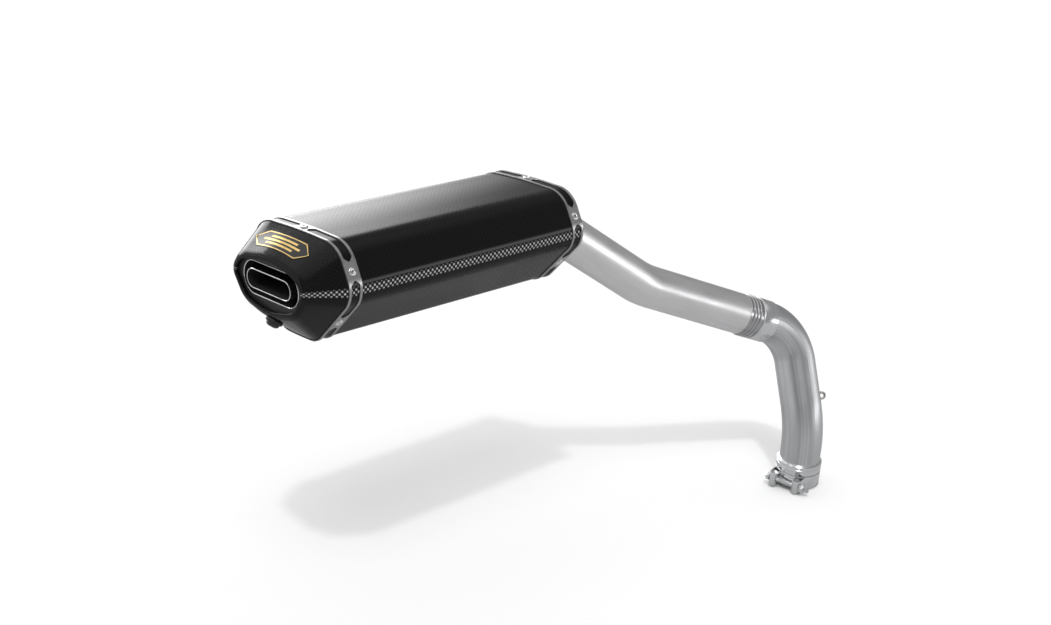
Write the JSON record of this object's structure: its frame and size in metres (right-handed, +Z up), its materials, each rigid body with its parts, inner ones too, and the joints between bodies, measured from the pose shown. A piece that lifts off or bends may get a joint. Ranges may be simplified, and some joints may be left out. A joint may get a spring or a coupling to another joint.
{
  "type": "exhaust system",
  "caption": "Slip-on racing exhaust: six-sided carbon muffler with steel bands on a bent steel pipe, swivel joint, and a clamped inlet socket.",
  "frame": {"origin": "centre of the inlet socket's open mouth, where the bike's pipe slides in", "axes": "+X forwards along the muffler (the outlet faces -X), +Z up, +Y towards the side the muffler stands out to"},
  "size_m": [0.7806, 0.2905, 0.4523],
  "materials": {
    "brushed_steel": "stainless tube, brushed along its length",
    "polished_steel": "machined or polished stainless",
    "black_steel": "heat-proof black",
    "carbon": "carbon fibre under gloss clear coat",
    "rubber": "black silicone rubber",
    "graphite": "pressed graphite",
    "wool": "glass packing wool",
    "black_plastic": "moulded, satin",
    "badge_gold": "thin printed metal plate"
  },
  "bodies": {
    "elbow": {"elbow_pipe": "brushed_steel", "socket_collar": "polished_steel", "slip_collar": "polished_steel", "joint_seal": "graphite", "spring_hook": "brushed_steel"},
    "clamp": {"clamp_band": "polished_steel", "clamp_bridge": "polished_steel", "clamp_trunnions": "polished_steel", "clamp_bolt": "polished_steel"},
    "nut": {"clamp_nut": "polished_steel"},
    "muffler": {"upper_pipe": "brushed_steel", "joint_ring": "brushed_steel", "inlet_spigot": "brushed_steel", "front_cap": "brushed_steel", "front_band": "polished_steel", "front_band_seal": "rubber", "front_band_rivets": "polished_steel", "front_plate": "brushed_steel", "outer_sleeve": "carbon", "perforated_core": "brushed_steel", "packing_wool": "wool", "baffle_plate": "brushed_steel", "rear_plate": "brushed_steel", "rear_band": "polished_steel", "rear_band_seal": "rubber", "rear_band_rivets": "polished_steel", "rear_cap": "carbon", "outlet_faceplate": "black_steel", "outlet_tube": "brushed_steel", "screw_boss": "brushed_steel", "badge": "badge_gold"},
    "insert": {"noise_insert": "polished_steel", "insert_diffuser": "brushed_steel"},
    "grommet": {"screw_grommet": "rubber"},
    "screw": {"insert_screw": "black_plastic"}
  },
  "joints": [
    {"name": "muffler_swivel", "type": "hinge", "parent": "elbow", "child": "muffler", "pos_m": [-0.0296, 0.0626, 0.22033], "axis": [-0.8793, 0.3113, 0.3604], "range_deg": [-20, 20]},
    {"name": "clamp_turn", "type": "hinge", "parent": "elbow", "child": "clamp", "pos_m": [0, 0, 0], "axis": [-0.0365, -0.0872, 0.9955], "continuous": true},
    {"name": "clamp_nut_turn", "type": "hinge", "parent": "clamp", "child": "nut", "pos_m": [-0.03132, -0.03132, 0.00666], "axis": [0.1422, -0.9865, -0.0812], "continuous": true},
    {"name": "insert_slide", "type": "slide", "parent": "muffler", "child": "insert", "axis": [-1, 0, 0], "range_m": [0, 0.12]},
    {"name": "screw_withdraw", "type": "slide", "parent": "muffler", "child": "grommet", "axis": [-0.6044, 0, -0.7967], "range_m": [0, 0.012]},
    {"name": "insert_screw_turn", "type": "hinge", "parent": "grommet", "child": "screw", "pos_m": [-0.7316, 0.163, 0.3542], "axis": [-0.6044, 0, -0.7967], "range_deg": [0, 4320]}
  ],
  "couplings": [
    {"joint": "insert_screw_turn", "follows": "screw_withdraw", "rad_per_m": 6283.2}
  ]
}
